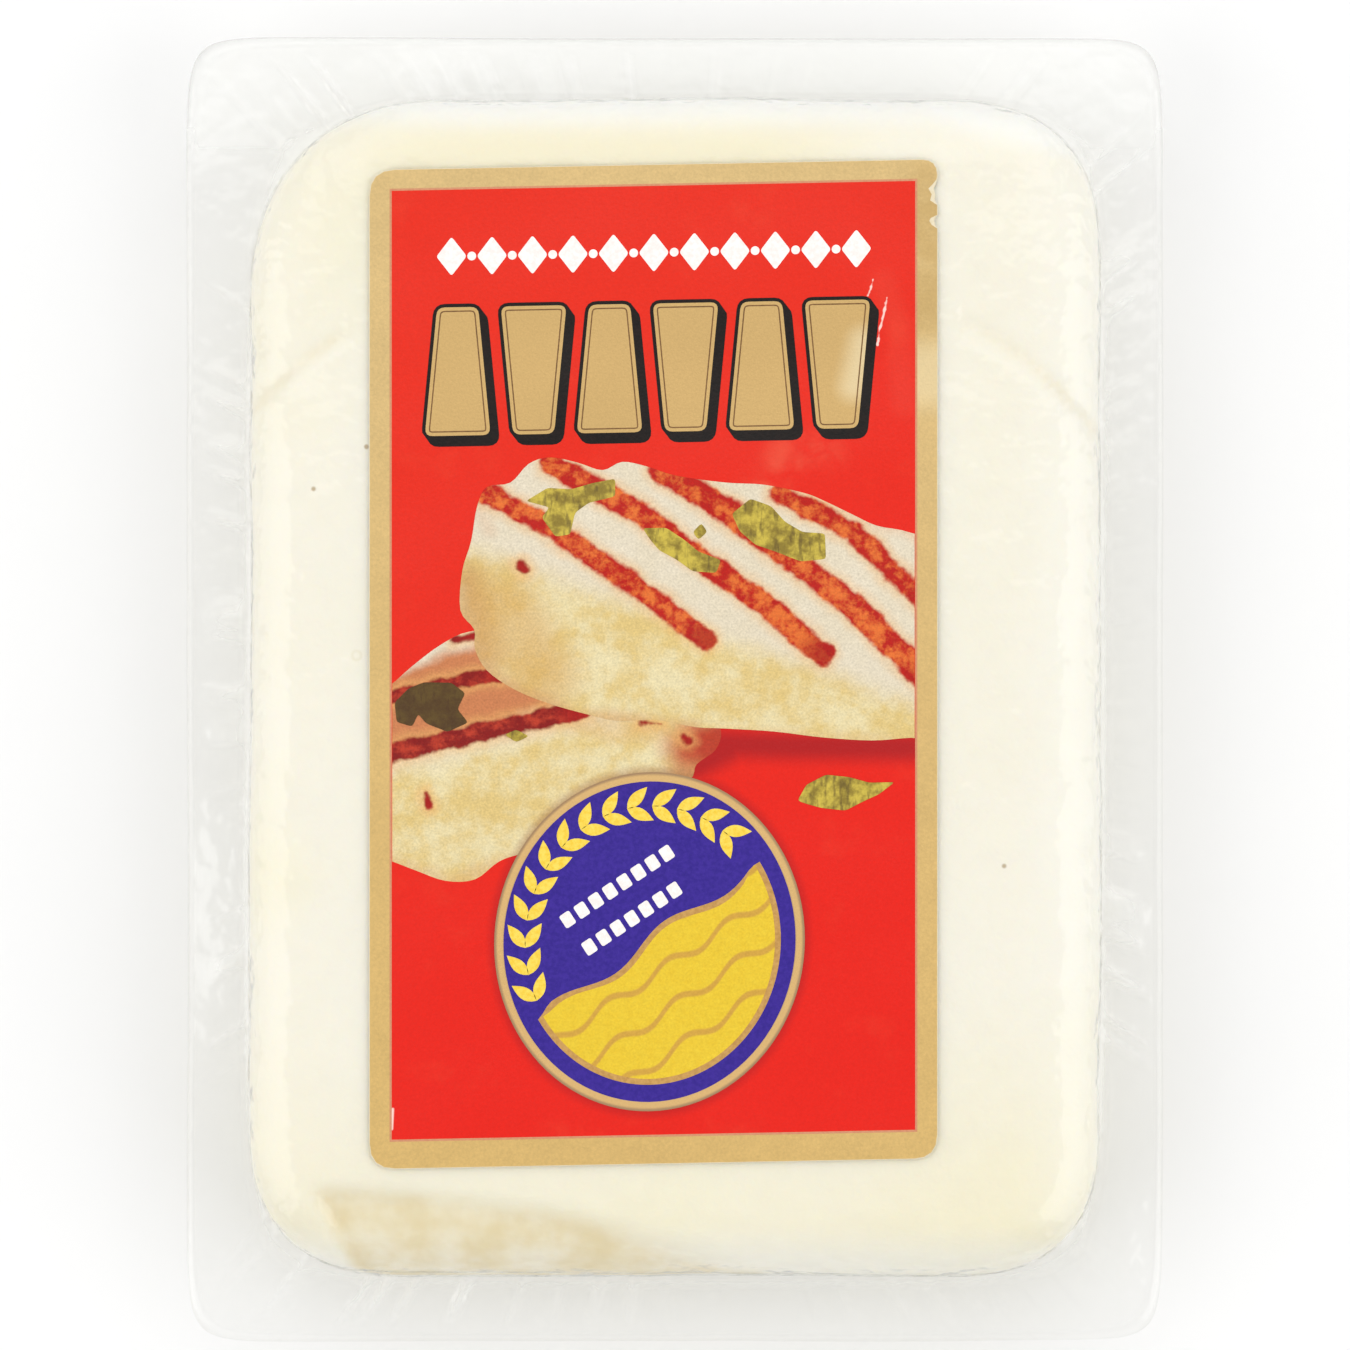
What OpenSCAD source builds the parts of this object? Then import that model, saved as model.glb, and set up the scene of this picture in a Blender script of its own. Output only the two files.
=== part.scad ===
// A block of halloumi, vacuum packed in clear film, with a printed label on its top.
// The pack lies flat with its label up: +Z is up, +Y runs to the label's head, and the
// origin is on the table under the middle of the pack. Millimetres.

/* [Cheese block] */
// Width of the block
block_w = 88; // [70:1:110]
// Length of the block
block_l = 122; // [100:1:150]
// Thickness of the block
block_h = 22; // [17:0.5:30]
// How square the block's right far corner is: 2 is an ellipse
far_right_power = 8; // [4:0.1:12]
// How square the block's left far corner is
far_left_power = 5.6; // [4:0.1:12]
// How square the block's two near corners are
near_power = 8; // [4:0.1:12]

/* [Rounded edges] */
// Width of the rounding along the block's two long sides
side_run = 6; // [3:0.5:10]
// Width of the rounding along the far end
far_run = 6.5; // [3:0.5:10]
// Width of the longer slope at the near end's left
near_run = 11.5; // [9:0.5:16]
// How much further the top stays level at the near end's right than at its left
near_slant = 5; // [0:0.5:6]
// Width of the rounding under the block
foot_run = 5; // [2:0.5:9]
// How full the rounded edges are: 2 is an ellipse
edge_power = 2.3; // [2:0.1:4]

/* [Film] */
// Width of the sealed border round the block
border_w = 7; // [4:0.5:12]
// Thickness of the sealed border
border_t = 0.4; // [0.3:0.05:1]
// Height of the border's middle above the table
seam_z = 11; // [8:0.5:13]
// How square the border's corners are
border_power = 26; // [12:1:40]
// Reach of the film's hollow curve between the block and its border
web_reach = 1.5; // [0.5:0.1:3]

/* [Label] */
// Level top left clear to the left of the label
left_margin = 6.8; // [1:0.1:12]
// Level top left clear to the right of the label
right_margin = 11.2; // [1:0.1:16]
// Level top left clear beyond the label's far end
far_margin = 0.9; // [0.6:0.1:10]
// Level top left clear before the label's near end
near_margin = 1.1; // [0.6:0.1:10]
// How much further the label's right side lies towards the far end than its left side
label_skew = 1.1; // [0:0.1:2]
// Corner radius of the label
label_corner = 2.2; // [0.5:0.1:6]
// Thickness of the label
label_t = 0.2; // [0.1:0.05:0.5]

/* [Hidden] */

around = 96;            // points in each ring, a multiple of 4
crowding = 6;           // degrees by which the points crowd towards the corners
edge_steps = 7;         // rings over the rounded top edge
foot_steps = 5;         // rings over the rounded foot
web_steps = 2;          // rings in the film's hollow curve, on each side of the border
corner_steps = 6;       // segments in each corner of the label

half_w = block_w / 2;
half_l = block_l / 2;
block_powers = [far_right_power, far_left_power, near_power, near_power];

panel_power = 7;
panel_hx = half_w - side_run;
panel_hy = half_l - (far_run + near_run) / 2;
panel_y = (near_run - far_run) / 2;

label_w = block_w - 2 * side_run - left_margin - right_margin;
label_l = block_l - far_run - near_run - far_margin - near_margin;
label_x = (left_margin - right_margin) / 2;
label_y = (near_run + near_margin - far_run - far_margin) / 2;

// The direction of point k of a ring, with the points closer together at the corners.
function direction(k) = let (a = 360 * k / around) a + crowding * sin(4 * a);

// One ring: a rounded rectangle of the given half sizes, whose four corners have the
// given powers, anticlockwise from the right far corner.
function ring(hx, hy, powers) = [
    for (k = [0:around - 1])
        let (
            a = direction(k),
            p = powers[floor(k * 4 / around)],
            reach = 1 / pow(pow(abs(cos(a)), p) + pow(abs(sin(a)), p), 1 / p)
        )
        [hx * reach * cos(a), hy * reach * sin(a)]
];

function same(p) = [p, p, p, p];
function block_ring(out) = ring(half_w + out, half_l + out, block_powers);
function border_ring() = ring(half_w + border_w, half_l + border_w, same(border_power));

// The level top: its near end reaches further on the right than on the left.
function panel_ring() = [
    for (p = ring(panel_hx, panel_hy, same(panel_power)))
        let (reach = p[1] < 0 ? near_slant / 2 * (1 + p[0] / panel_hx) : 0)
        [p[0], p[1] + panel_y - reach]
];

// A ring d of the way from ring p to ring q, at height z.
function between(p, q, d, z) = [
    for (k = [0:around - 1]) concat(p[k] + d * (q[k] - p[k]), z)
];
function at(p, z) = between(p, p, 0, z);

// How far along and how far up a rounded edge runs at step i of n: [0, 1] to [1, 0].
function edge(i, n) = [pow(sin(90 * i / n), 2 / edge_power), pow(cos(90 * i / n), 2 / edge_power)];

// Rings of the film's hollow curve from the block's side to the border, on the side s.
function web(s) = [
    for (i = [0:web_steps])
        let (a = 90 * i / web_steps, gap = border_t / 2 + web_reach * (1 - sin(a)))
        at(block_ring(web_reach * (1 - cos(a))), seam_z + s * gap)
];

function reversed(v) = [for (i = [len(v) - 1:-1:0]) v[i]];

// All rings in order: the foot, the web under the border, the border, and back over the
// top edge to the level top.
function bag_rings() = let (
    side_low = seam_z - border_t / 2 - web_reach,
    side_high = seam_z + border_t / 2 + web_reach
) concat(
    [for (i = [0:foot_steps - 1]) let (e = edge(i, foot_steps))
        between(block_ring(-foot_run), block_ring(0), e[0], side_low * (1 - e[1]))],
    web(-1),
    [at(border_ring(), seam_z - border_t / 2), at(border_ring(), seam_z + border_t / 2)],
    reversed(web(1)),
    [for (i = [edge_steps - 1:-1:0]) let (e = edge(i, edge_steps))
        between(panel_ring(), block_ring(0), e[0], side_high + (block_h - side_high) * e[1])]
);

// A closed skin over a stack of rings. Its first and last rings are closed by flat fans
// round the middle of each.
module skin(rings) {
    last = len(rings) - 1;
    foot = len(rings) * around;
    crown = foot + 1;
    polyhedron(
        points = concat(
            [for (r = rings) for (p = r) p],
            [[0, 0, rings[0][0][2]], [0, 0, rings[last][0][2]]]
        ),
        faces = [
            for (k = [0:around - 1])
                let (next = (k + 1) % around)
                each concat(
                    [[k, next, foot], [last * around + next, last * around + k, crown]],
                    [for (i = [0:last - 1])
                        let (a = i * around + k, b = i * around + next)
                        each [[a, a + around, b + around], [a, b + around, b]]]
                )
        ]
    );
}

// The outline of the label: a slightly skewed rectangle with rounded corners.
function label_outline() = [
    for (c = [0:3])
        let (
            sx = (c == 0 || c == 3) ? 1 : -1,
            sy = (c < 2) ? 1 : -1,
            x = sx * (label_w / 2 - label_corner),
            y = sy * (label_l / 2 - label_corner) + sx * label_skew / 2
        )
        for (i = [0:corner_steps])
            let (a = 90 * c + 90 * i / corner_steps)
            [x + label_corner * cos(a), y + label_corner * sin(a)]
];

// The cheese and the film that clings to it, as one closed solid with its sealed border.
module bag() {
    color([0.95, 0.93, 0.84]) skin(bag_rings());
}

// The printed label, flat on the level top.
module label() {
    color([0.85, 0.16, 0.12])
        translate([label_x, label_y, block_h])
            linear_extrude(label_t) polygon(label_outline());
}

bag();
label();
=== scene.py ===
import math

import bpy
import numpy as np
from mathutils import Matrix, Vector, noise


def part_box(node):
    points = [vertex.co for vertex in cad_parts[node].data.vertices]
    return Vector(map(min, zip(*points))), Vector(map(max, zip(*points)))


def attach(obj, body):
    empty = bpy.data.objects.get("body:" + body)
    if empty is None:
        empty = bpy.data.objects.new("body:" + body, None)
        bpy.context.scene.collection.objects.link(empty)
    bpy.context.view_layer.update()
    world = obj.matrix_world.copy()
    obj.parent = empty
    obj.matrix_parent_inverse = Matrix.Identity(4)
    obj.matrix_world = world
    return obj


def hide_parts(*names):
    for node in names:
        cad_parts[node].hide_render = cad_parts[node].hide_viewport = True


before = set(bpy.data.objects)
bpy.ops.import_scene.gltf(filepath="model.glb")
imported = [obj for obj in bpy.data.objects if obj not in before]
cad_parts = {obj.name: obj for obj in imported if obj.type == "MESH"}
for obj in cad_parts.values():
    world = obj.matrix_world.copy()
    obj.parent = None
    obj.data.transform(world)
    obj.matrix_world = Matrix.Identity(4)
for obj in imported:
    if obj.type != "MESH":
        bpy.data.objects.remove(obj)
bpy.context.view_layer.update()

# A vacuum-packed block of halloumi: the cheese, the clear film drawn tight round it with its
# sealed border, and the printed label. Shapes are worked out in millimetres and kept in metres.

MM = 0.001

# --- Sizes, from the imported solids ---

bag_low, bag_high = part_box("bag")
label_low, label_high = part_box("label")

BORDER_W = 7.0  # the sealed border outside the block
PACK_HX = bag_high.x / MM
PACK_HY = bag_high.y / MM
BLOCK_HX = PACK_HX - BORDER_W
BLOCK_HY = PACK_HY - BORDER_W
BLOCK_TOP = bag_high.z / MM
SEAM_Z = BLOCK_TOP / 2  # height of the border

LABEL_SKEW = 1.1  # the label's right side lies this much further up
LABEL_W = (label_high.x - label_low.x) / MM
LABEL_L = (label_high.y - label_low.y) / MM - LABEL_SKEW
LABEL_X = (label_high.x + label_low.x) / 2 / MM
LABEL_Y = (label_high.y + label_low.y) / 2 / MM
LABEL_Z = label_low.z / MM

SKIN = 0.12  # the block's box is this much inside the bag's
CHEESE_LOW = 0.15
CHEESE_TOP = BLOCK_TOP - SKIN
VOXEL = 0.75  # spacing of the cheese's mesh
FILM_OUT = 0.24  # the film is pushed out from the cheese by this
FILM_BULGE = 1.0  # and bulges past the block by no more than this
FILM_T = 0.22  # thickness of the sealed border

# --- What the cheese shows ---

CORNERS = {(1, 1): 15, (-1, 1): 21, (-1, -1): 15, (1, -1): 15}  # radii, by side and end
TOP_RUN, FOOT_RUN = 6.3, 5.0  # widths of the block's rounded edges
SLOPE_DROP = 2.6  # the near end slopes down by this much
SHELF_DROP = 0.9  # the shelf lies this much below the top layer
FLAP_DROP = 0.5  # height of the step at the flap's end
FLAP_CREASE = 0.25  # depth of the crease along that step's foot
SETTLE = 0.2  # how far the whole surface is drawn in
FOLD_Z = 14.2  # height of the fold line round three sides
FOLD_DEPTH = 0.8
BUBBLE = (-32.5, 3.5, 21.7)  # a small ring-shaped mark
BUBBLE_R = 0.45
SPECKS = [(-36.9, 20.5, 21.7), (40.0, 41.0, 20.6), (-31.5, 24.8, 21.7), (33.6, -18.0, 21.7)]

# --- Where the print lies, in millimetres right and up from the label's middle ---

RED_U, RED_LOW, RED_HIGH = 26.7, -48.0, 48.8  # the red field
KEYLINE_W = 0.22  # the thin line round the red field
TRIM_U = 26.65  # the slices are cut off here
TILES, TILE_STEP = 6, 7.75
TILE_LOW, TILE_HIGH = 23.7, 36.8
TILE_WIDE, TILE_NARROW = 3.35, 2.1  # half widths of a tile's two ends
TILE_SHADOW = (0.6, -0.75)
LOZENGES, LOZENGE_STEP = 11, 4.13
LOZENGE_START, LOZENGE_V = -20.6, 42.0
BADGE = (-0.4, -28.3)  # the round badge's middle and half sizes
BADGE_U, BADGE_V = 15.85, 17.3
BADGE_RIM = 0.95
TILT = math.radians(33)  # slope of the badge's fields and marks
FIELD_UP = (-math.sin(TILT), math.cos(TILT))
FIELD_WAVES = 0.9
FURROW = 1.9  # distance between the fields' furrows

# Each printed sheet's top, above the label's underside.
LEVELS = {
    "label_card": 0.08, "gold_border": 0.09, "keyline": 0.1, "red_field": 0.112,
    "lower_slice": 0.124, "upper_slice": 0.138, "herbs": 0.152, "white_marks": 0.126,
    "tile_shadows": 0.128, "name_tiles": 0.145, "badge_rim": 0.15, "badge_blue": 0.163,
    "field_edge": 0.172, "fields": 0.18, "wreath": 0.178, "badge_marks": 0.18,
}
INK = 0.012  # thickness of a printed sheet


# --- Modelling ---

def deselect():
    if bpy.context.object and bpy.context.object.mode != "OBJECT":
        bpy.ops.object.mode_set(mode="OBJECT")
    bpy.ops.object.select_all(action="DESELECT")


def take(piece):
    """Makes a piece the only one selected, and the active one."""
    deselect()
    piece.select_set(True)
    bpy.context.view_layer.objects.active = piece
    return piece


def named(name):
    """Names the piece just added, and puts its place and size into its mesh."""
    piece = bpy.context.object
    bpy.ops.object.transform_apply(location=True, rotation=True, scale=True)
    piece.name = piece.data.name = name
    return piece


def pick(piece, kind, test):
    """In edit mode, selects the vertices, edges or faces whose points pass a test."""
    take(piece)
    bpy.ops.object.mode_set(mode="EDIT")
    bpy.ops.mesh.select_mode(type=kind)
    bpy.ops.mesh.select_all(action="DESELECT")
    bpy.ops.object.mode_set(mode="OBJECT")
    mesh = piece.data
    spots = [v.co / MM for v in mesh.vertices]
    if kind == "VERT":
        for v in mesh.vertices:
            v.select = test([spots[v.index]])
    else:
        for item in mesh.edges if kind == "EDGE" else mesh.polygons:
            item.select = test([spots[i] for i in item.vertices])
    bpy.ops.object.mode_set(mode="EDIT")


def everything(piece):
    take(piece)
    bpy.ops.object.mode_set(mode="EDIT")
    bpy.ops.mesh.select_all(action="SELECT")


def modify(piece, kind, **settings):
    """Adds a modifier with its settings and applies it."""
    take(piece)
    modifier = piece.modifiers.new(kind.lower(), kind)
    for key, setting in settings.items():
        setattr(modifier, key, setting)
    bpy.ops.object.modifier_apply(modifier=modifier.name)


def points_of(piece):
    """A piece's points in millimetres, one row each."""
    flat = np.empty(len(piece.data.vertices) * 3)
    piece.data.vertices.foreach_get("co", flat)
    return flat.reshape(-1, 3) / MM


def normals_of(piece):
    flat = np.empty(len(piece.data.vertices) * 3, dtype=np.float32)
    piece.data.vertex_normals.foreach_get("vector", flat)
    return flat.reshape(-1, 3).astype(float)


def set_points(piece, points):
    piece.data.vertices.foreach_set("co", (points * MM).astype(np.float32).ravel())
    piece.data.update()


def paint_points(piece, name, amounts):
    """Keeps one number for each point of a piece, for its material to read."""
    layer = piece.data.attributes.new(name, "FLOAT", "POINT")
    layer.data.foreach_set("value", np.asarray(amounts, dtype=np.float32))


def join(name, pieces):
    deselect()
    for piece in pieces:
        piece.select_set(True)
    bpy.context.view_layer.objects.active = pieces[0]
    if len(pieces) > 1:
        bpy.ops.object.join()
    pieces[0].name = pieces[0].data.name = name
    return pieces[0]


def ramp(low, high, values):
    """0 below low, 1 above high and a smooth rise between, on an array."""
    t = np.clip((values - low) / (high - low), 0, 1)
    return t * t * (3 - 2 * t)


def lumps(points, size, seed):
    """Soft random lumps from -1 to 1, about size millimetres apart."""
    shift = Vector((seed * 17.3, seed * 5.1, seed * 9.7))
    return np.array([noise.noise(Vector(p) / size + shift) for p in points])


# --- Shading ---

def rgb(red, green, blue):
    """A colour given as it looks, from 0 to 255, as the light values that shaders use."""
    def light(c):
        c /= 255
        return c / 12.92 if c <= 0.04045 else ((c + 0.055) / 1.055) ** 2.4
    return (light(red), light(green), light(blue), 1)


class Value:
    """A number, colour or vector that varies over a surface. Sums on it add Math nodes."""

    def __init__(self, paint, socket):
        self.paint = paint
        self.socket = socket

    def __add__(self, other):
        return self.paint.maths("ADD", self, other)

    __radd__ = __add__

    def __sub__(self, other):
        return self.paint.maths("SUBTRACT", self, other)

    def __rsub__(self, other):
        return self.paint.maths("SUBTRACT", other, self)

    def __mul__(self, other):
        return self.paint.maths("MULTIPLY", self, other)

    __rmul__ = __mul__

    def __truediv__(self, other):
        return self.paint.maths("DIVIDE", self, other)

    def __pow__(self, other):
        return self.paint.maths("POWER", self, other)


class Paint:
    """One material: its nodes, and its place in millimetres as `place`, `x`, `y` and `z`."""

    def __init__(self, name):
        self.material = bpy.data.materials.new(name)
        self.material.use_nodes = True
        self.tree = self.material.node_tree
        self.tree.nodes.clear()
        metres = self.node("TexCoord", out="Object")
        self.place = self.node("VectorMath", {"operation": "SCALE"}, {0: metres, 3: 1 / MM})
        self.x, self.y, self.z = [self.node("SeparateXYZ", {}, {0: self.place}, out=i)
                                  for i in range(3)]

    def node(self, kind, settings=None, inputs=None, out=0):
        """Adds a node, sets it, then fills its sockets with values or links."""
        made = self.tree.nodes.new("ShaderNode" + kind)
        for key, setting in (settings or {}).items():
            setattr(made, key, setting)
        for key, given in (inputs or {}).items():
            if isinstance(given, Value):
                self.tree.links.new(given.socket, made.inputs[key])
            else:
                made.inputs[key].default_value = given
        return Value(self, made.outputs[out])

    def maths(self, operation, *values):
        return self.node("Math", {"operation": operation}, dict(enumerate(values)))

    def least(self, a, b):
        return self.maths("MINIMUM", a, b)

    def most(self, a, b):
        return self.maths("MAXIMUM", a, b)

    def size_of(self, a):
        return self.maths("ABSOLUTE", a)

    def rise(self, value, low, high):
        """0 below low and 1 above high, smoothly."""
        return self.node("MapRange", {"interpolation_type": "SMOOTHSTEP"},
                         {0: value, 1: low, 2: high, 3: 0.0, 4: 1.0})

    def noise(self, per_mm, detail=2.0, rough=0.5, warp=0.0, stretch=None, seed=0.0):
        """Noise from 0 to 1 with so many lumps to a millimetre."""
        place = self.place
        if stretch or seed:
            place = self.node("Mapping", {}, {0: place, 1: (seed, seed * 0.7, seed * 1.3),
                                              3: stretch or (1, 1, 1)})
        return self.node("TexNoise", {}, {"Vector": place, "Scale": per_mm, "Detail": detail,
                                          "Roughness": rough, "Distortion": warp})

    def blend(self, factor, a, b, how="MIX"):
        """Colour a where factor is 0 and colour b where it is 1."""
        return self.node("Mix", {"data_type": "RGBA", "blend_type": how},
                         {0: factor, 6: a, 7: b}, out=2)

    def shade(self, colour, factor):
        """A colour made lighter or darker by a factor round 1."""
        grey = self.node("CombineColor", {}, {0: factor, 1: factor, 2: factor})
        return self.blend(1.0, colour, grey, "MULTIPLY")

    def away(self, spot):
        """Distance from a place."""
        return self.node("VectorMath", {"operation": "DISTANCE"}, {0: self.place, 1: spot},
                         out="Value")

    def attribute(self, name):
        return self.node("Attribute", {"attribute_name": name}, out="Fac")

    def bump(self, height, depth_mm):
        """A surface normal from a height of 0 to 1 that is so many millimetres deep."""
        return self.node("Bump", {}, {"Strength": 1.0, "Distance": depth_mm * MM,
                                      "Height": height})

    def surface(self, **inputs):
        """A Principled shader, with sockets named in words joined by underscores."""
        names = {key.replace("_", " "): given for key, given in inputs.items()}
        return self.node("BsdfPrincipled", {}, names)

    def done(self, shader):
        last = self.tree.nodes.new("ShaderNodeOutputMaterial")
        self.tree.links.new(shader.socket, last.inputs["Surface"])
        return self.material


class LabelPaint(Paint):
    """A print on the label: `u` and `v` are millimetres right and up from its middle."""

    def __init__(self, name):
        super().__init__(name)
        self.u = self.x - LABEL_X
        self.v = self.y - LABEL_Y - self.u * (LABEL_SKEW / LABEL_W)
        self.spot = self.node("CombineXYZ", {}, {0: self.u, 1: self.v})

    def stroke(self, start, end):
        """Distance from the straight line between two places."""
        start, end = Vector((*start, 0)), Vector((*end, 0))
        along = end - start
        reach = self.node("VectorMath", {"operation": "SUBTRACT"},
                          {0: self.spot, 1: start})
        share = self.node("VectorMath", {"operation": "DOT_PRODUCT"},
                          {0: reach, 1: along / along.length_squared}, out="Value")
        share = self.node("Clamp", {}, {0: share})
        foot = self.node("VectorMath", {"operation": "SCALE"}, {0: along, 3: share})
        return self.node("VectorMath", {"operation": "DISTANCE"}, {0: reach, 1: foot},
                         out="Value")

    def path(self, *spots):
        """Distance from a line that runs through several places."""
        away = self.stroke(spots[0], spots[1])
        for start, end in zip(spots[1:], spots[2:]):
            away = self.least(away, self.stroke(start, end))
        return away

    def oval(self, middle, half_u, half_v):
        """1 on the edge of an oval, less inside it and more outside."""
        a = (self.u - middle[0]) / half_u
        b = (self.v - middle[1]) / half_v
        return self.maths("SQRT", a * a + b * b)

    def print_dots(self, strength):
        """A factor round 1: the fine grain that a print screen leaves."""
        grain = self.noise(4.2, detail=1.0, rough=0.6)
        coarse = self.noise(1.5, detail=2.0, seed=3.0)
        return 1 + (grain - 0.5) * strength + (coarse - 0.5) * (strength * 0.4)

    def printed(self, colour, gloss=0.36, metallic=0.0):
        """The print's surface: coated paper, with the paper's grain and a slight waviness."""
        grain = self.noise(3.5, detail=1.0, rough=0.65, seed=1.0)
        wave = self.noise(0.09, detail=0.0, seed=8.0)
        height = grain * 0.04 + wave
        rough = gloss + (grain - 0.5) * 0.18
        return self.done(self.surface(
            Base_Color=colour, Roughness=rough, Metallic=metallic, Specular_IOR_Level=0.3,
            Normal=self.bump(height, 0.7)))


def paint_gold():
    p = LabelPaint("gold_print")
    grain = p.noise(3.2, detail=2.0, rough=0.7)
    blotch = p.noise(0.5, detail=2.0, seed=2.0)
    colour = p.blend(p.rise(p.v, -48, 50), rgb(219, 183, 114), rgb(217, 186, 127))
    colour = p.shade(colour, 1 + (grain - 0.5) * 0.34 + (blotch - 0.5) * 0.14)
    # On the right border: a painted sheen, and painted shade where the label is folded towards
    # its top right corner.
    side = p.rise(p.u, 24.5, 27.2)
    sheen = side * (1 - p.rise(p.size_of(p.v - 29.0), 1.4, 5.0))
    colour = p.blend(sheen * 0.5, colour, rgb(238, 220, 176))
    fold = side * (1 - p.rise(p.size_of(p.v - 42.0), 6.5, 10.0)) * p.rise(blotch, 0.2, 0.6)
    colour = p.blend(fold * 0.45, colour, rgb(186, 152, 90))
    return p.printed(colour, gloss=0.42, metallic=0.3)


def paint_card():
    """The white card that shows where the label is cut."""
    p = LabelPaint("card_edge")
    fibre = p.noise(3.0, detail=3.0, rough=0.7)
    return p.printed(p.blend(fibre, rgb(222, 204, 160), rgb(240, 232, 210)), gloss=0.7)


def paint_keyline():
    p = LabelPaint("rose_keyline")
    grain = p.noise(4.0, detail=2.0)
    return p.printed(p.blend(grain, rgb(196, 128, 92), rgb(222, 160, 122)), gloss=0.4)


def paint_red():
    p = LabelPaint("red_print")
    grain = p.noise(3.0, detail=2.0, rough=0.7)
    colour = p.blend(p.rise(p.v - p.u * 0.5, -40, 48), rgb(229, 27, 11), rgb(228, 39, 16))
    colour = p.shade(colour, 1 + (grain - 0.5) * 0.22)
    under = 1 - p.rise(p.path((2.5, -8.0), (14.0, -8.6), (27.0, -9.0)), 0.2, 2.6)
    beside = 1 - p.rise(p.stroke((3.5, -10.5), (7.5, -8.6)), 0.5, 2.8)
    badge = 1 - p.rise(p.oval(BADGE, BADGE_U, BADGE_V), 1.0, 1.07)
    dark = p.most(p.most(under, beside), badge * 0.55)
    colour = p.blend(dark * 0.8, colour, rgb(160, 14, 22))
    smoke = p.noise(0.3, detail=2.0, rough=0.55, warp=0.4, seed=6.0)
    above = 1 - p.rise(p.path((12.0, 18.5), (13.5, 21.4), (17.5, 21.0)), 0.2, 3.4)
    colour = p.blend(above * p.rise(smoke, 0.35, 0.75) * 0.4, colour, rgb(238, 104, 74))
    mottle = p.noise(0.16, detail=3.0, rough=0.6, seed=7.0)
    colour = p.blend(p.rise(mottle, 0.55, 0.8) * 0.12, colour, rgb(246, 96, 60))
    sheen = 1 - p.rise(p.path((25.6, 26.0), (25.0, 34.0), (23.4, 38.5)), 0.3, 2.2)
    colour = p.blend(sheen * 0.04, colour, rgb(250, 150, 120))
    # Painted glints: thin white lines along small creases near the upper right, and a short one
    # on the field's left edge.
    crease_glints = p.path((22.4, 38.8), (22.2, 38.0), (21.9, 37.2))
    crease_glints = p.least(crease_glints, p.path((23.8, 36.9), (23.6, 35.6), (23.0, 33.4), (22.9, 32.2)))
    glint = p.noise(1.6, detail=1.0, seed=9.0)
    edge_glint = p.stroke((-26.7, -46.9), (-26.6, -44.9))
    light = p.most(1 - p.rise(crease_glints + (glint - 0.5) * 0.5, 0.0, 0.14),
                   1 - p.rise(edge_glint, 0.05, 0.22))
    return p.printed(p.blend(light * 0.85, colour, rgb(252, 226, 214)))


def paint_plain(name, low, high, gloss=0.36, dots=0.12):
    """A flat ink that goes from one colour to another in fine grain."""
    p = LabelPaint(name)
    grain = p.noise(2.2, detail=3.0, rough=0.6)
    colour = p.shade(p.blend(p.rise(grain, 0.3, 0.7), low, high), p.print_dots(dots))
    return p.printed(colour, gloss=gloss)


def paint_tiles():
    p = LabelPaint("gold_tiles")
    grain = p.noise(5.0, detail=3.0, rough=0.7)
    colour = p.shade(rgb(210, 174, 112), 1 + (grain - 0.5) * 0.3)
    sheen = 1 - p.rise(p.stroke((20.4, 28.0), (21.4, 32.5)), 0.0, 2.6)
    colour = p.blend(sheen * 0.55, colour, rgb(244, 228, 186))
    return p.printed(colour, gloss=0.4, metallic=0.3)


def paint_slice(name, ridge, shades, marks):
    """A printed grilled slice: pale top, mottled side below its ridge, and seared marks."""
    p = LabelPaint(name)
    soft = p.noise(0.22, detail=3.0, rough=0.6, seed=1.0)
    fleck = p.noise(0.8, detail=2.0, rough=0.7, seed=2.0)
    top = p.blend(soft, rgb(219, 205, 175), rgb(229, 219, 199))
    side = p.blend(p.rise(soft * 0.75 + fleck * 0.25, 0.36, 0.64), rgb(229, 215, 170),
                   rgb(219, 192, 124))
    (u0, v0), (u1, v1) = ridge
    below = (p.u - u0) * ((v1 - v0) / (u1 - u0)) - (p.v - v0) + (soft - 0.5) * 3.0
    colour = p.blend(p.rise(below, -1.5, 2.5), top, side)
    for spots, inner, outer, strength, tone in shades:
        near = 1 - p.rise(p.path(*spots) + (soft - 0.5) * 2.0, inner, outer)
        colour = p.blend(near * strength, colour, rgb(*tone))
    ragged = p.noise(0.5, detail=3.0, rough=0.6, seed=5.0)
    char = p.noise(0.7, detail=3.0, rough=0.65, seed=11.0)
    for spots, half, heat in marks:
        away = p.path(*spots) + (ragged - 0.5) * 1.3
        glow = 1 - p.rise(away, half * 0.7, half + 1.3)
        colour = p.blend(glow * 0.55, colour, rgb(232, 176, 104))
        core = 1 - p.rise(away, half - 0.2, half + 0.3)
        seared = p.blend(p.rise(char + (half - away) * 0.1, 0.46, 0.72), rgb(*heat[0]),
                         rgb(*heat[1]))
        colour = p.blend(core, colour, seared)
        tip = Vector(spots[-1])
        near_tip = 1 - p.rise(p.stroke(tip, tip + Vector((0.01, 0))), 0.4, 3.4)
        colour = p.blend(near_tip * core * 0.8, colour, rgb(166, 14, 10))
    shadow = 1 - p.rise(p.oval(BADGE, BADGE_U, BADGE_V), 1.0, 1.06)
    colour = p.blend(shadow * 0.45, colour, rgb(150, 90, 50))
    return p.printed(p.shade(colour, p.print_dots(0.5)))


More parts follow.
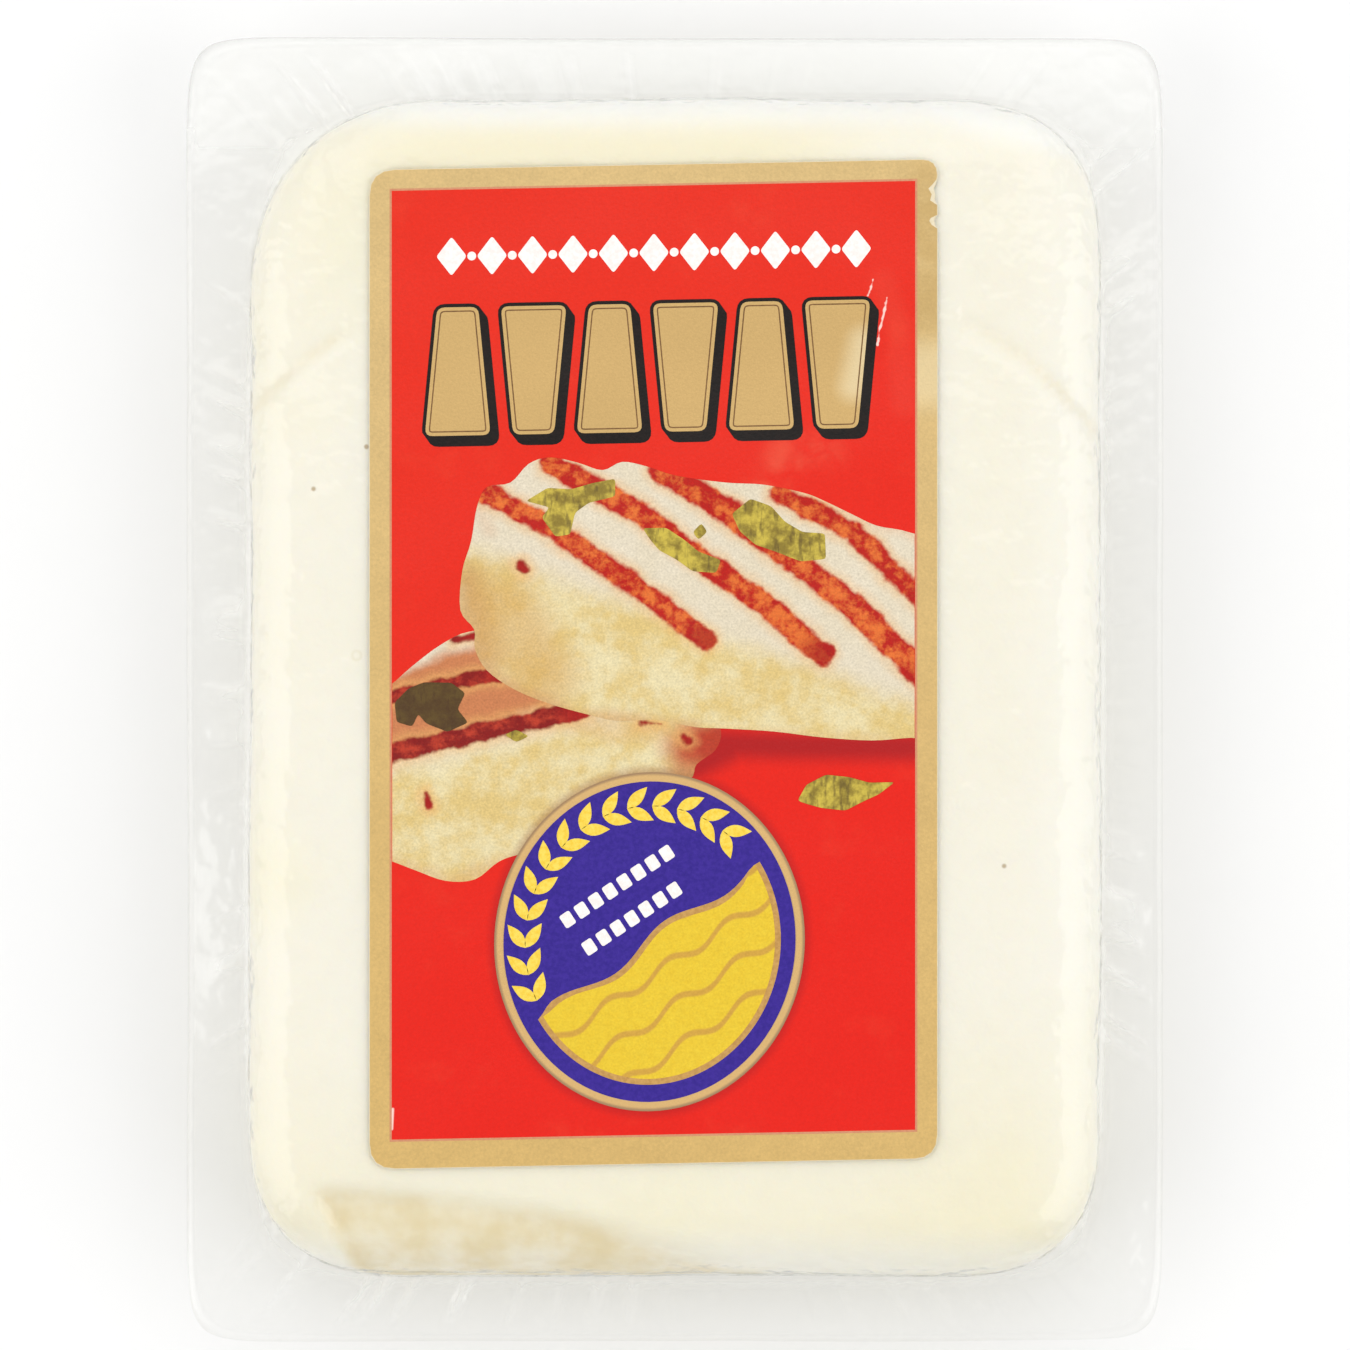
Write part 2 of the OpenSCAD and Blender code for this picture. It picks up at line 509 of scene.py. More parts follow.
def paint_herb():
    p = LabelPaint("herb_print")
    patch = p.noise(0.7, detail=3.0, rough=0.6)
    vein = p.noise(2.0, detail=2.0, stretch=(1.0, 0.25, 1.0), seed=4.0)
    colour = p.blend(p.rise(patch, 0.35, 0.65), rgb(140, 120, 46), rgb(206, 184, 74))
    colour = p.blend(p.rise(vein, 0.52, 0.7) * 0.6, colour, rgb(92, 74, 38))
    dark = 1 - p.rise(p.stroke((-25.0, -3.5), (-20.0, -4.5)), 3.0, 5.0)
    colour = p.blend(dark * 0.92, colour, rgb(74, 48, 26))
    return p.printed(p.shade(colour, p.print_dots(0.3)))


def paint_rim():
    p = LabelPaint("badge_rim")
    grain = p.noise(5.0, detail=3.0, rough=0.7)
    out = p.oval(BADGE, BADGE_U, BADGE_V)
    colour = p.shade(rgb(222, 182, 120), 1 + (grain - 0.5) * 0.22)
    shade = p.most(1 - p.rise(out, 0.928, 0.95), p.rise(out, 0.975, 0.995) * 0.7)
    return p.printed(p.blend(shade * 0.75, colour, rgb(92, 66, 78)), gloss=0.4, metallic=0.3)


def paint_fields():
    """The badge's yellow fields, with low furrows that follow its wavy upper side."""
    p = LabelPaint("yellow_fields")
    wave = p.maths("SINE", p.u * FIELD_WAVES + p.v * 0.2)
    down = 0 - p.node("VectorMath", {"operation": "DOT_PRODUCT"},
                      {0: p.spot, 1: (*FIELD_UP, 0)}, out="Value")
    furrow = p.maths("PINGPONG", down + wave * 0.55, FURROW)
    line = 1 - p.rise(furrow, 0.16, 0.42)
    grain = p.noise(1.4, detail=3.0, rough=0.6)
    colour = p.blend(grain, rgb(226, 186, 38), rgb(236, 206, 58))
    colour = p.blend(line * 0.75, colour, rgb(198, 146, 68))
    return p.printed(p.shade(colour, p.print_dots(0.3)))


def paint_cheese():
    p = Paint("cheese")
    soft = p.noise(0.045, detail=3.0, rough=0.55)
    curd = p.noise(0.35, detail=3.0, rough=0.6, seed=3.0)
    near = 1 - p.rise(p.y, -BLOCK_HY - 4, -BLOCK_HY * 0.45)
    colour = p.blend(soft, rgb(244, 239, 220), rgb(247, 243, 231))
    near = near * (0.55 + p.rise(p.x, 10, 36) * 0.35)
    colour = p.blend(near, colour, rgb(243, 235, 202))
    warm = p.noise(0.03, detail=2.0, seed=14.0)
    colour = p.blend(p.rise(warm, 0.5, 0.7) * 0.5, colour, rgb(244, 238, 209))
    # Painted shade: a darker, yellower band where the top rounds down at the far end.
    far = p.rise(p.y, 46, 54) * (1 - p.rise(p.y, 55, 59.5))
    far = far * (1 - p.rise(p.size_of(p.x + 6), 14, 34))
    colour = p.blend(far * 0.75, colour, rgb(241, 232, 198))
    # Painted highlight: the upper sides are whitened along the far end, towards the right side
    # and along the near end.
    outline = p.y + p.most(p.x - 26, 0.0) * 0.28
    edge_highlight = p.most(p.rise(outline, 56.5, 60.5) * 0.8, p.rise(p.x, 33, 42) * 0.3)
    edge_highlight = p.most(edge_highlight, (1 - p.rise(p.y, -59, -54)) * 0.5)
    colour = p.blend(edge_highlight * p.rise(p.z, 8, 15), colour, rgb(250, 250, 247))
    colour = p.shade(colour, 1 + (curd - 0.5) * 0.05)
    # Painted shade along the crease at the flap's end and along the fold line, and a darker,
    # yellower tint on the near shelf, read from a point attribute.
    shelf_tint_and_crease_shade = p.attribute("shelf_tint_and_crease_shade")
    blotch = p.noise(0.16, detail=3.0, rough=0.6, seed=5.0)
    colour = p.blend(shelf_tint_and_crease_shade * (p.rise(blotch, 0.3, 0.7) * 0.6 + 0.25), colour, rgb(229, 212, 166))
    for spot in SPECKS:
        dot = 1 - p.rise(p.away(spot), 0.12, 0.35)
        colour = p.blend(dot * 0.7, colour, rgb(168, 138, 84))
    ring = 1 - p.rise(p.size_of(p.away(BUBBLE) - BUBBLE_R), 0.05, 0.25)
    colour = p.blend(ring * 0.3, colour, rgb(226, 216, 184))
    return p.done(p.surface(
        Base_Color=colour, Roughness=0.42 + (curd - 0.5) * 0.2, Specular_IOR_Level=0.3,
        Subsurface_Weight=0.2, Subsurface_Radius=(1.0, 0.8, 0.45), Subsurface_Scale=0.004,
        Normal=p.bump(curd, 0.2)))


def film_over(p, haze, normal, gloss):
    """Clear film: it mirrors at a slant, lets the rest through, and is milky where hazed."""
    clear = p.node("BsdfTransparent", {}, {"Color": (0.985, 0.985, 0.98, 1)})
    milk = p.surface(Base_Color=rgb(252, 252, 250), Roughness=0.5, Normal=normal)
    body = p.node("MixShader", {}, {0: haze, 1: clear, 2: milk})
    mirror = p.node("BsdfAnisotropic", {}, {"Color": (1, 1, 1, 1), "Roughness": gloss,
                                            "Normal": normal})
    facing = p.node("LayerWeight", {}, {"Blend": 0.5, "Normal": normal}, out="Facing")
    slant = facing ** 5 * 0.8 + 0.035
    return p.done(p.node("MixShader", {}, {0: slant, 1: body, 2: mirror}))


def paint_skin_film():
    """The film drawn tight over the cheese, with fine creases towards its edges."""
    p = Paint("film_on_cheese")
    crease = p.attribute("crease")
    fine = p.noise(0.3, detail=2.0, seed=2.0)
    return film_over(p, crease * 0.06 + 0.008, p.bump(fine * (crease + 0.25), 1.4), 0.12)


def paint_border_film():
    """The sealed border: clear film, faintly ribbed and milky along its seal."""
    p = Paint("film_border")
    reach = p.attribute("reach")
    crease = p.attribute("crease")
    seal = p.rise(reach, 0.3, 0.36) * (1 - p.rise(reach, 0.9, 0.95))
    # Where the film folds at the block it is whitened, partly its own milkiness and partly
    # painted light over the shade at the block's foot. Towards the far end it is whitened as
    # painted light over the shaded strip beyond the block.
    fold = 1 - p.rise(reach, 0.12, 0.42)
    far = p.rise(p.y, 50, 62)
    haze = 0.03 + seal * 0.07 + crease * 0.4 + p.most(fold * 0.55, far * 0.3)
    return film_over(p, haze, p.bump(p.noise(0.5, detail=1.0, seed=4.0), 0.2), 0.14)


def paint_table():
    p = Paint("table")
    grain = p.noise(0.02, detail=2.0)
    return p.done(p.surface(Base_Color=p.blend(grain, rgb(246, 246, 246), rgb(249, 249, 249)),
                            Roughness=0.7, Specular_IOR_Level=0.2))


# --- The cheese ---

def fold_end(x):
    """Where the rounded end of the folded-over flap runs, across the top."""
    return 42.0 - 13.0 * np.abs((x + 1) / 41) ** 3


def cut_end(x):
    """Where the top layer stops short of the near end."""
    return -50.0 - 0.0041 * (x + 36) ** 2


def off_label(x, y):
    """How far a place on the top lies outside the label."""
    out_x = np.abs(x - LABEL_X) - LABEL_W / 2
    out_y = np.abs(y - LABEL_Y) - LABEL_L / 2
    return np.hypot(np.maximum(out_x, 0), np.maximum(out_y, 0))


def near_shelf(x, y):
    """1 on the lower shelf that shows beyond the top layer's near end, 0 elsewhere."""
    under = cut_end(x) - y
    beside = (x + 37.8) - (cut_end(x) - y) * 0.45
    soft = 2.4 + 3.0 * ramp(-20, 20, x)
    return ramp(0, soft, under) * ramp(-0.5, 1.5, beside) * (1 - ramp(2, 24, x))


def round_block(piece, low, high, hx, hy):
    """Rounds a box: its four upright edges, then the edges of its top and of its foot."""
    for (side, end), radius in CORNERS.items():
        def upright(points, side=side, end=end):
            return all(p.x * side > hx * 0.99 and p.y * end > hy * 0.99 for p in points)
        pick(piece, "EDGE", upright)
        bpy.ops.mesh.bevel(offset=radius * MM, segments=14, profile=0.55, affect="EDGES",
                           clamp_overlap=False)
    for level, run in ((high, TOP_RUN), (low, FOOT_RUN)):
        pick(piece, "EDGE", lambda points: all(abs(p.z - level) < 0.01 for p in points))
        bpy.ops.mesh.bevel(offset=run * MM, segments=8, profile=0.58, affect="EDGES",
                           clamp_overlap=False)
    deselect()


def make_cheese():
    deselect()
    high, low = CHEESE_TOP, CHEESE_LOW
    hx, hy = BLOCK_HX - SKIN, BLOCK_HY - SKIN
    bpy.ops.mesh.primitive_cube_add(size=1, location=(0, 0, (high + low) / 2 * MM),
                                    scale=(2 * hx * MM, 2 * hy * MM, (high - low) * MM))
    piece = named("cheese")
    round_block(piece, low, high, hx, hy)
    modify(piece, "REMESH", mode="VOXEL", voxel_size=VOXEL * MM)
    modify(piece, "SMOOTH", factor=0.5, iterations=5)

    p, n = points_of(piece), normals_of(piece)
    x, y, z = p.T
    upper = ramp(10, 17, z)
    free = ramp(0.5, 5, off_label(x, y))

    # The near end slopes down sooner on the left, and a shelf lies lower beyond the cut end.
    start = -49.5 - 5 * (x + BLOCK_HX) / (2 * BLOCK_HX)
    slope = np.clip((start - y) / (BLOCK_HY + start), 0, 1)
    shelf = near_shelf(x, y)
    drop = SLOPE_DROP * slope ** 1.8 + SHELF_DROP * shelf

    # The flap's rounded end is a low step, with a crease along its foot.
    beyond = y - fold_end(x)
    drop += FLAP_DROP * free * ramp(-0.5, 0.9, beyond)
    drop += FLAP_CREASE * free * np.exp(-((beyond - 1.1) / 0.8) ** 2)

    # Soft lumps, none of them under the label, and a fold line round three sides.
    lump = lumps(p, 16, 1) * 0.3 + lumps(p, 7, 2) * 0.12
    p[:, 2] -= upper * drop
    p += n * (lump * (0.15 + 0.85 * free) - SETTLE)[:, None]
    fold_z = FOLD_Z + lumps(p * (1, 1, 0), 30, 4) * 1.2
    open_side = 1 - ramp(BLOCK_HY - 16, BLOCK_HY - 4, y)
    upright = ramp(0.3, 0.8, np.hypot(n[:, 0], n[:, 1]))
    groove = np.exp(-((z - fold_z) / 0.75) ** 2) * open_side * upright
    p -= n * (FOLD_DEPTH * groove)[:, None]
    p[:, 2] = np.clip(p[:, 2], CHEESE_LOW, CHEESE_TOP)
    set_points(piece, p)
    # For the material: painted shade along the crease at the flap step and the fold line, and
    # the darker tint of the near shelf.
    edge = np.exp(-((beyond - 1.0) / 0.8) ** 2) * free * upper
    paint_points(piece, "shelf_tint_and_crease_shade", np.clip(shelf * upper + 0.35 * edge + 0.5 * groove, 0, 1))
    piece.data.materials.append(paint_cheese())
    return piece


# Creases of the film over the block: start, end, width and height.
CREASES = [
    ((-38.5, 51.5, 20.5), (-29.5, 56.8, 19.0), 0.55, 0.3),
    ((-42.0, 46.0, 17.0), (-36.0, 52.0, 20.5), 0.5, 0.25),
    ((-43.5, 38.0, 14.0), (-37.0, 44.0, 21.5), 0.6, 0.25),
    ((37.0, 57.5, 13.5), (33.0, 52.5, 21.0), 0.6, 0.3),
    ((41.5, 50.0, 14.0), (36.0, 47.0, 21.3), 0.6, 0.3),
    ((43.5, 20.0, 13.5), (38.5, 26.0, 21.4), 0.6, 0.2),
    ((-43.8, -12.0, 14.0), (-38.5, -5.0, 21.4), 0.6, 0.2),
    ((40.5, -52.0, 14.0), (34.0, -47.5, 21.0), 0.6, 0.3),
    ((34.0, -59.0, 13.5), (27.0, -52.0, 20.5), 0.6, 0.25),
    ((-40.0, -54.0, 14.0), (-35.0, -47.0, 20.5), 0.6, 0.3),
    ((-8.0, -60.8, 12.5), (-2.0, -55.5, 18.5), 0.55, 0.2),
    ((12.0, 60.8, 12.5), (16.5, 56.0, 20.0), 0.55, 0.2),
]


def make_skin(cheese):
    """The film on the cheese: a copy of its surface, pushed out, evened and creased."""
    take(cheese)
    bpy.ops.object.duplicate()
    piece = bpy.context.object
    piece.name = piece.data.name = "film_on_cheese"
    piece.data.materials.clear()
    piece.data.attributes.remove(piece.data.attributes["shelf_tint_and_crease_shade"])
    p, n = points_of(piece), normals_of(piece)
    set_points(piece, p + n * FILM_OUT)
    modify(piece, "SMOOTH", factor=0.5, iterations=5)
    p, n = points_of(piece), normals_of(piece)
    off = off_label(p[:, 0], p[:, 1])
    ridge = np.zeros(len(p))
    for start, end, width, height in CREASES:
        start, end = np.array(start), np.array(end)
        along = end - start
        share = np.clip(((p - start) @ along) / (along @ along), 0, 1)
        away = np.linalg.norm(p - start - share[:, None] * along, axis=1)
        fade = np.sin(np.pi * np.clip(share, 0.03, 0.97))
        ridge = np.maximum(ridge, height * fade * np.exp(-(away / width) ** 2))
    p += n * ridge[:, None]
    reach = (BLOCK_HX + FILM_BULGE, BLOCK_HY + FILM_BULGE)
    p[:, :2] = np.clip(p[:, :2], np.negative(reach), reach)
    p[:, 2] = np.clip(p[:, 2], 0, BLOCK_TOP)
    set_points(piece, p)
    steep = 1 - np.abs(n[:, 2])
    paint_points(piece, "crease", np.clip(ramp(0.02, 0.5, steep) * ramp(2, 7, off) * 0.8
                                          + ramp(0.05, 0.25, ridge), 0, 1))
    piece.data.materials.append(paint_skin_film())
    return piece


# --- The sealed border ---

RING = 720  # points round the border
OUTWARD = 15  # rings from the block to the border's edge
TUCK = 0.9  # the border starts this far inside the block's outline
EDGE_IN = 0.25  # and ends this far inside the bag's box
TWIST = math.radians(6)  # by which the points crowd towards the corners
BLOCK_POWERS = [8, 5.6, 8, 8]  # how square the block's corners are
BORDER_POWERS = [26] * 4
WEB = 1.7  # how far the film spreads up and down where it meets the block


def corner_reach(a, powers):
    """Reach of a rounded rectangle of half size 1 in direction a, for its four corners."""
    p = np.array(powers)[(np.floor(a / (np.pi / 2)).astype(int)) % 4]
    return (np.abs(np.cos(a)) ** p + np.abs(np.sin(a)) ** p) ** (-1 / p)


def make_border():
    deselect()
    bpy.ops.mesh.primitive_circle_add(vertices=RING, radius=1.0, fill_type="NOTHING",
                                      location=(0, 0, 1.0))
    piece = named("film_border")
    everything(piece)
    for i in range(OUTWARD):
        grow = (1 + (i + 1) / OUTWARD) / (1 + i / OUTWARD)
        bpy.ops.mesh.extrude_region_move()
        bpy.ops.transform.resize(value=(grow, grow, 1))
    bpy.ops.mesh.extrude_region_move(TRANSFORM_OT_translate={"value": (0, 0, -2)})
    for i in reversed(range(OUTWARD)):
        shrink = (1 + i / OUTWARD) / (1 + (i + 1) / OUTWARD)
        bpy.ops.mesh.extrude_region_move()
        bpy.ops.transform.resize(value=(shrink, shrink, 1))
    deselect()
    pick(piece, "VERT", lambda points: math.hypot(points[0].x, points[0].y) < 1001)
    bpy.ops.mesh.select_mode(type="EDGE")
    bpy.ops.mesh.bridge_edge_loops()
    deselect()

    q = points_of(piece) * MM
    side = np.sign(q[:, 2])
    reach = np.clip(np.hypot(q[:, 0], q[:, 1]) - 1, 0, 1)
    a = np.arctan2(q[:, 1], q[:, 0]) % (2 * np.pi)
    a = a + TWIST * np.sin(4 * a)
    toward = np.column_stack([np.cos(a), np.sin(a)])
    near = corner_reach(a, BLOCK_POWERS)[:, None] * toward
    far = corner_reach(a, BORDER_POWERS)[:, None] * toward
    inner = near * (BLOCK_HX - TUCK, BLOCK_HY - TUCK)
    outer = far * (PACK_HX - EDGE_IN, PACK_HY - EDGE_IN)
    share = reach ** 1.25
    spot = inner + (outer - inner) * share[:, None]
    rim = np.column_stack([outer, np.zeros(len(outer))])
    wave = (lumps(rim, 34, 1) * 1.5 + lumps(rim, 13, 2) * 0.5) * share ** 1.6
    uneven = np.minimum(lumps(rim, 9, 6) * share, 0.0) * 0.0012
    spot = spot * (1 + uneven)[:, None]
    pleat = np.maximum(0, 1 - np.abs(lumps(rim, 4.5, 3)) / 0.16)
    pleat = pleat * np.clip(lumps(rim, 22, 5) + 0.35, 0, 1)
    pleat = pleat * np.sin(np.pi * np.clip(reach * 1.15, 0, 1))
    web = WEB * np.clip(1 - reach / 0.32, 0, 1) ** 2.2
    z = SEAM_Z + wave + 0.45 * pleat + side * (FILM_T / 2 + web)
    set_points(piece, np.column_stack([spot, z]))
    everything(piece)
    bpy.ops.mesh.normals_make_consistent(inside=False)
    deselect()
    paint_points(piece, "reach", reach)
    paint_points(piece, "crease", np.clip(pleat * 0.8, 0, 1))
    piece.data.materials.append(paint_border_film())
    return piece


# --- The label ---

def rounded(outline, steps=6):
    """Points of a smooth closed curve through an outline's corners."""
    at = np.array(outline, dtype=float)
    before, after, later = np.roll(at, 1, 0), np.roll(at, -1, 0), np.roll(at, -2, 0)
    spots = []
    for t in np.arange(steps) / steps:
        spots.append(0.5 * (2 * at + (after - before) * t
                            + (2 * before - 5 * at + 4 * after - later) * t ** 2
                            + (3 * at - before - 3 * after + later) * t ** 3))
    return np.stack(spots, 1).reshape(-1, 2)


def eased(outline, radii, steps=4):
    """An outline with each corner turned into an arc of about its radius."""
    at = np.array(outline, dtype=float)
    radii = np.broadcast_to(radii, len(at))
    spots = []
    for i, corner in enumerate(at):
        start, end = at[i - 1] - corner, at[(i + 1) % len(at)] - corner
        start = corner + start / np.linalg.norm(start) * radii[i]
        end = corner + end / np.linalg.norm(end) * radii[i]
        for t in np.arange(steps + 1) / steps:
            spots.append((1 - t) ** 2 * start + 2 * t * (1 - t) * corner + t ** 2 * end)
    return np.array(spots)


def anticlockwise(outline):
    outline = np.array(outline, dtype=float)
    ahead = np.roll(outline, -1, 0)
    if (outline[:, 0] * ahead[:, 1] - ahead[:, 0] * outline[:, 1]).sum() < 0:
        return outline[::-1]
    return outline


def outward(outline):
    """The outward direction at each point of an anticlockwise outline."""
    along = np.roll(outline, -1, 0) - np.roll(outline, 1, 0)
    away = np.column_stack([along[:, 1], -along[:, 0]])
    return away / np.linalg.norm(away, axis=1)[:, None]


def oval_outline(middle, half_u, half_v, count=96, start=0, end=360):
    a = np.radians(np.linspace(start, end, count, endpoint=end - start < 360))
    return np.column_stack([middle[0] + half_u * np.cos(a), middle[1] + half_v * np.sin(a)])


def leaf_outline(root, direction, length, width):
    """A small pointed leaf from its root, in a direction given in radians."""
    t = np.linspace(0, 1, 9)
    half = width / 2 * np.sin(np.pi * t ** 0.85)
    side = np.concatenate([half, -half[-2:0:-1]])
    along = np.concatenate([t, t[-2:0:-1]]) * length
    c, s = math.cos(direction), math.sin(direction)
    return np.column_stack([root[0] + along * c - side * s, root[1] + along * s + side * c])


def flat(name, outline):
    """A flat face of any outline, made from a filled circle."""
    outline = anticlockwise(outline)
    deselect()
    bpy.ops.mesh.primitive_circle_add(vertices=len(outline), radius=0.01, fill_type="NGON")
    piece = named(name)
    set_points(piece, np.column_stack([outline, np.zeros(len(outline))]))
    if piece.data.polygons[0].normal.z < 0:
        everything(piece)
        bpy.ops.mesh.flip_normals()
        deselect()
    return piece


def trim(piece, u):
    """Cuts a flat piece off beyond the red field's side at u."""
    everything(piece)
    bpy.ops.mesh.bisect(plane_co=(u * MM, 0, 0), plane_no=(math.copysign(1, u), 0, 0),
                        clear_outer=True, threshold=1e-7)
    deselect()


def stack(piece, thick=INK):
    """Thickens flat faces downwards and lays them on the label, their top at their level."""
    modify(piece, "SOLIDIFY", thickness=thick * MM, offset=-1)
    p = points_of(piece)
    u = p[:, 0].copy()
    p += (LABEL_X, LABEL_Y, LABEL_Z + LEVELS[piece.name])
    p[:, 1] += u * (LABEL_SKEW / LABEL_W)
    set_points(piece, p)


def printed_piece(name, outlines, material, thick=INK):
    piece = join(name, [flat(name, outline) for outline in outlines])
    stack(piece, thick)
    piece.data.materials.append(material)
    return piece


def box_outline(u0, v0, u1, v1):
    return [(u0, v0), (u1, v0), (u1, v1), (u0, v1)]


def label_outline(inset, nick):
    """The label's outline with its rounded corners and two torn nicks in its right side."""
    hu, hv = LABEL_W / 2 - inset, LABEL_L / 2 - inset
    corners = eased(box_outline(-hu, -hv, hu, hv), [2.6, 2.4, 1.6, 2.6])
    low, high = np.split(corners, 2)
    torn = [(hu, 43.9), (hu - nick * 0.7, 44.3), (hu - nick, 44.7), (hu - nick * 0.8, 45.0),
            (hu, 45.3), (hu, 46.3), (hu - nick * 0.9, 46.8), (hu - nick * 0.7, 47.4),
            (hu - nick * 1.1, 48.0), (hu - nick * 0.5, 48.5), (hu - nick * 0.1, 48.9)]
    return np.concatenate([low, torn, high])


UPPER_SLICE = [(-19.7, 5.9), (-19.5, 9.9), (-18.6, 12.9), (-18.0, 16.4), (-17.0, 18.4),
               (-14.6, 18.8), (-12.7, 20.7), (-10.5, 21.3), (-7.7, 20.7), (-5.2, 19.9),
               (-3.2, 20.7), (-0.7, 20.2), (2.3, 19.2), (7.3, 18.4), (11.3, 18.1), (15.3, 17.2),
               (17.3, 16.4), (20.3, 14.9), (22.8, 13.7), (26.3, 12.9), (31.0, 10.5),
               (31.0, 0.0), (31.0, -8.0), (26.3, -8.0), (22.3, -8.2), (17.3, -7.8),
               (12.3, -7.1), (7.3, -6.7), (4.3, -6.5), (0.3, -5.7), (-3.7, -5.7), (-6.7, -5.0),
               (-10.7, -3.8), (-14.2, -2.3), (-17.0, -0.3), (-18.2, 1.9), (-18.3, 3.9)]
LOWER_SLICE = [(-31.0, -5.0), (-28.8, -2.6), (-26.7, -1.5), (-24.7, 0.2), (-21.7, 2.4),
               (-18.7, 3.7), (-14.0, 3.6), (-8.0, 1.0), (-3.0, -1.0), (2.0, -3.5), (5.6, -5.5),
               (6.9, -7.0), (6.3, -8.9), (4.4, -10.3), (3.6, -12.0), (-1.0, -15.0),
               (-8.0, -18.0), (-13.0, -19.0), (-15.7, -19.8), (-18.2, -21.6), (-21.2, -21.7),
               (-24.2, -20.6), (-26.7, -19.6), (-31.0, -18.0)]
# Each slice's ridge, below which its side shows.
UPPER_RIDGE = ((-17.0, 12.0), (26.0, -4.0))
LOWER_RIDGE = ((-26.8, -9.8), (-6.0, -5.0))
GRILLED = ((184, 22, 10), (226, 112, 46))  # the seared marks' dark and light tones
BROWNED = ((134, 16, 12), (184, 56, 34))
# Seared marks: the line that each follows, its half width and its tones.
UPPER_MARKS = [
    ([(-17.0, 17.8), (-11.3, 14.6), (-5.7, 10.9), (5.4, 2.5)], 1.0, GRILLED),
    ([(-10.5, 20.6), (-1.7, 15.7), (7.3, 8.8), (12.3, 5.2), (17.2, 0.6)], 1.15, GRILLED),
    ([(0.8, 19.9), (8.3, 14.9), (15.8, 9.2), (20.3, 5.6), (28.0, -2.2)], 1.25, GRILLED),
    ([(12.8, 17.2), (20.3, 13.2), (28.0, 5.4)], 1.0, GRILLED),
    ([(-13.5, 10.4), (-13.1, 9.8)], 0.4, BROWNED),
]
# Shaded places: a line, where the shade is full, where it ends, its strength and its colour.
UPPER_SHADES = [
    ([(-18.9, 9.0), (-17.4, 1.0)], 0.2, 3.4, 0.6, (192, 136, 82)),
    ([(-15.5, 6.0), (-11.5, -1.0)], 1.0, 6.0, 0.6, (208, 162, 88)),
    ([(-17.0, -1.2), (-8.0, -5.2), (4.0, -6.6)], 0.0, 1.6, 0.5, (200, 144, 90)),
    ([(6.0, -7.0), (27.0, -8.4)], 0.0, 1.1, 0.4, (216, 180, 118)),
    ([(14.0, 18.0), (20.3, 15.4), (27.0, 12.8)], 0.0, 1.6, 0.4, (228, 170, 124)),
    ([(-18.2, 17.0), (-16.8, 14.0)], 0.0, 1.4, 0.25, (206, 150, 104)),
]
LOWER_MARKS = [
    ([(-28.0, -8.9), (-18.0, -6.6), (-7.4, -4.6)], 0.95, BROWNED),
    ([(-28.0, -3.1), (-20.0, -1.4), (-15.2, -0.6)], 0.6, BROWNED),
    ([(-20.2, 2.9), (-17.6, 3.4)], 0.3, BROWNED),
    ([(-23.2, -12.7), (-22.9, -14.0)], 0.28, BROWNED),
    ([(3.1, -7.4), (3.6, -7.9)], 0.3, BROWNED),
    ([(-1.2, -5.9), (0.8, -6.1)], 0.12, BROWNED),
]
LOWER_SHADES = [
    ([(-28.0, -5.4), (-20.0, -2.4), (-12.0, -0.4)], 3.2, 4.8, 0.95, (198, 118, 68)),
    ([(4.7, -8.7), (6.8, -8.1)], 1.0, 4.9, 0.95, (180, 34, 14)),
    ([(4.0, -11.0), (1.0, -13.5)], 0.0, 2.6, 0.5, (206, 150, 92)),
    ([(-15.0, -20.2), (-21.0, -22.0), (-28.0, -19.5)], 0.0, 1.8, 0.4, (208, 158, 100)),
    ([(-11.0, -4.8), (-4.0, -6.6), (1.0, -6.8)], 0.3, 2.2, 0.35, (214, 164, 104)),
]
HERBS = [
    [(-13.0, 16.9), (-10.8, 18.2), (-8.4, 18.0), (-6.2, 18.6), (-3.9, 19.0), (-3.9, 17.2),
     (-6.6, 16.6), (-8.0, 15.6), (-8.5, 13.4), (-10.0, 13.2), (-11.4, 15.2), (-10.6, 16.2)],
    [(-1.1, 13.9), (1.3, 13.9), (3.2, 12.6), (4.6, 11.4), (6.9, 10.5), (6.4, 9.2), (4.0, 9.4),
     (2.4, 10.6), (0.6, 11.6), (-0.4, 12.8)],
    [(8.0, 15.2), (9.9, 16.7), (12.0, 15.9), (13.4, 14.3), (15.2, 13.2), (17.5, 13.0),
     (17.6, 10.4), (15.0, 10.2), (12.6, 11.2), (10.4, 12.0), (8.8, 13.4)],
    [(-25.0, -2.0), (-23.4, -1.4), (-20.6, -1.5), (-19.2, -2.6), (-20.0, -4.2), (-18.9, -5.6),
     (-21.0, -6.5), (-23.2, -5.6), (-24.0, -4.6), (-24.6, -5.9), (-26.2, -5.4), (-26.4, -3.4)],
    [(4.0, 13.4), (4.9, 14.3), (5.5, 13.4), (4.6, 12.6)],
    [(-15.2, -6.9), (-14.0, -6.4), (-12.7, -7.1), (-14.0, -7.7)],
    [(14.7, -14.2), (15.6, -12.6), (17.6, -11.6), (20.0, -11.9), (22.0, -12.5), (24.6, -12.5),
     (23.0, -13.7), (21.4, -14.4), (19.6, -15.3), (17.2, -15.0), (15.8, -14.6)],
]


